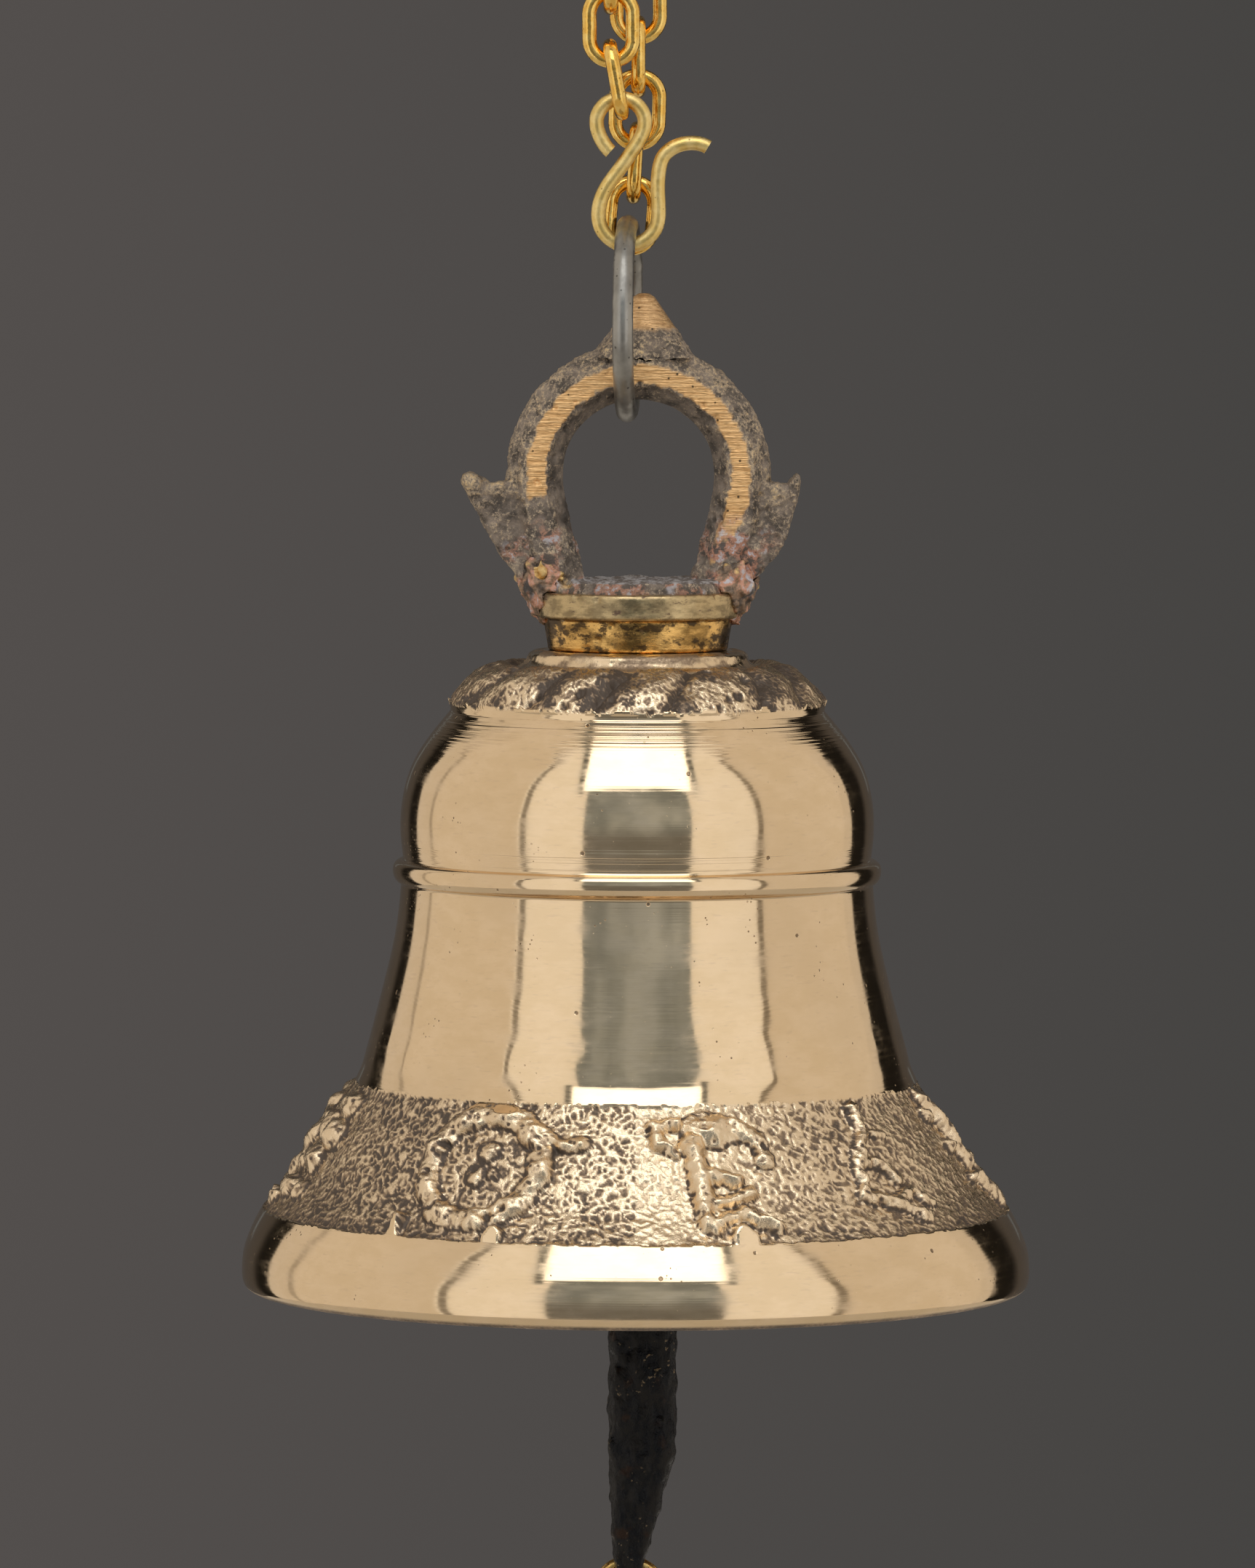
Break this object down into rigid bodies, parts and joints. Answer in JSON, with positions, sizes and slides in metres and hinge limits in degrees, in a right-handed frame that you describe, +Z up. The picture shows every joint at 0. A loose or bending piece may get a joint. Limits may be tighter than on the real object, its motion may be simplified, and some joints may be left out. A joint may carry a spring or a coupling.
{
  "type": "hanging temple bell",
  "caption": "Flared cast bronze bell with a brazed crown loop, hung by a steel ring, an S-hook and a doubled brass chain, with a swinging forged iron clapper and a pull ring.",
  "frame": {"origin": "the seat of the user's hook, inside the top link of the chain", "axes": "+Z up, +X to the right seen from the front, +Y to the rear; the front shows the crown loop face on"},
  "size_m": [0.1514, 0.1514, 0.3666],
  "materials": {
    "bell_bronze": "turned and polished bronze, with a rough cast band and petal ring",
    "collar_brass": "turned brass, tarnished",
    "cast_bronze": "rough sand-cast bronze, oxidised dark, with a ground facet",
    "braze": "braze metal with flux residue",
    "forged_iron": "black forge scale",
    "ring_brass": "polished",
    "galvanised_steel": "galvanised, dull grey",
    "rod_brass": "satin brass rod",
    "chain_brass": "polished gold-coloured brass"
  },
  "bodies": {
    "top_link": {"top_link": "chain_brass"},
    "front_chain": {"front_link_1": "chain_brass", "front_link_2": "chain_brass", "front_link_3": "chain_brass", "front_link_4": "chain_brass", "front_link_5": "chain_brass", "front_link_6": "chain_brass", "s_hook": "rod_brass"},
    "suspension_ring": {"suspension_ring": "galvanised_steel"},
    "bell": {"bell_body": "bell_bronze", "crown_collar": "collar_brass", "crown_loop": "cast_bronze", "braze_left": "braze", "braze_right": "braze", "clapper_staple": "forged_iron"},
    "clapper_link": {"clapper_link": "forged_iron"},
    "clapper": {"clapper": "forged_iron"},
    "pull_ring": {"pull_ring": "ring_brass"},
    "rear_chain": {"rear_link_1": "chain_brass", "rear_link_2": "chain_brass", "rear_link_3": "chain_brass", "rear_link_4": "chain_brass", "rear_link_5": "chain_brass", "rear_link_6": "chain_brass", "rear_link_7": "chain_brass", "rear_link_8": "chain_brass", "rear_link_9": "chain_brass"}
  },
  "joints": [
    {"name": "chain_swing", "type": "hinge", "parent": "top_link", "child": "front_chain", "pos_m": [0.0002, -0.00107, -0.00798], "axis": [1, 0, 0], "range_deg": [-8, 8]},
    {"name": "ring_swing", "type": "hinge", "parent": "front_chain", "child": "suspension_ring", "pos_m": [0.0005, 0, -0.11067], "axis": [0.9986, -0.0523, 0], "range_deg": [-25, 25]},
    {"name": "bell_rock", "type": "hinge", "parent": "suspension_ring", "child": "bell", "pos_m": [0.0005, 0, -0.12857], "axis": [0.0523, 0.9986, 0], "range_deg": [-20, 20]},
    {"name": "clapper_fore_aft", "type": "hinge", "parent": "bell", "child": "clapper_link", "pos_m": [0.0027, 0, -0.19955], "axis": [1, 0, 0], "range_deg": [-8, 8]},
    {"name": "clapper_strike", "type": "hinge", "parent": "clapper_link", "child": "clapper", "pos_m": [0.0027, 0, -0.21055], "axis": [0, 1, 0], "range_deg": [-30, 30]},
    {"name": "pull_ring_swing", "type": "hinge", "parent": "clapper", "child": "pull_ring", "pos_m": [0.0016, 0, -0.35075], "axis": [1, 0, 0], "range_deg": [-90, 90]},
    {"name": "rear_swing", "type": "hinge", "parent": "top_link", "child": "rear_chain", "pos_m": [-0.00019, 0.00219, -0.00334], "axis": [1, 0, 0], "range_deg": [-8, 8]}
  ],
  "couplings": [
    {"joint": "rear_swing", "follows": "chain_swing", "ratio": 0.95}
  ]
}
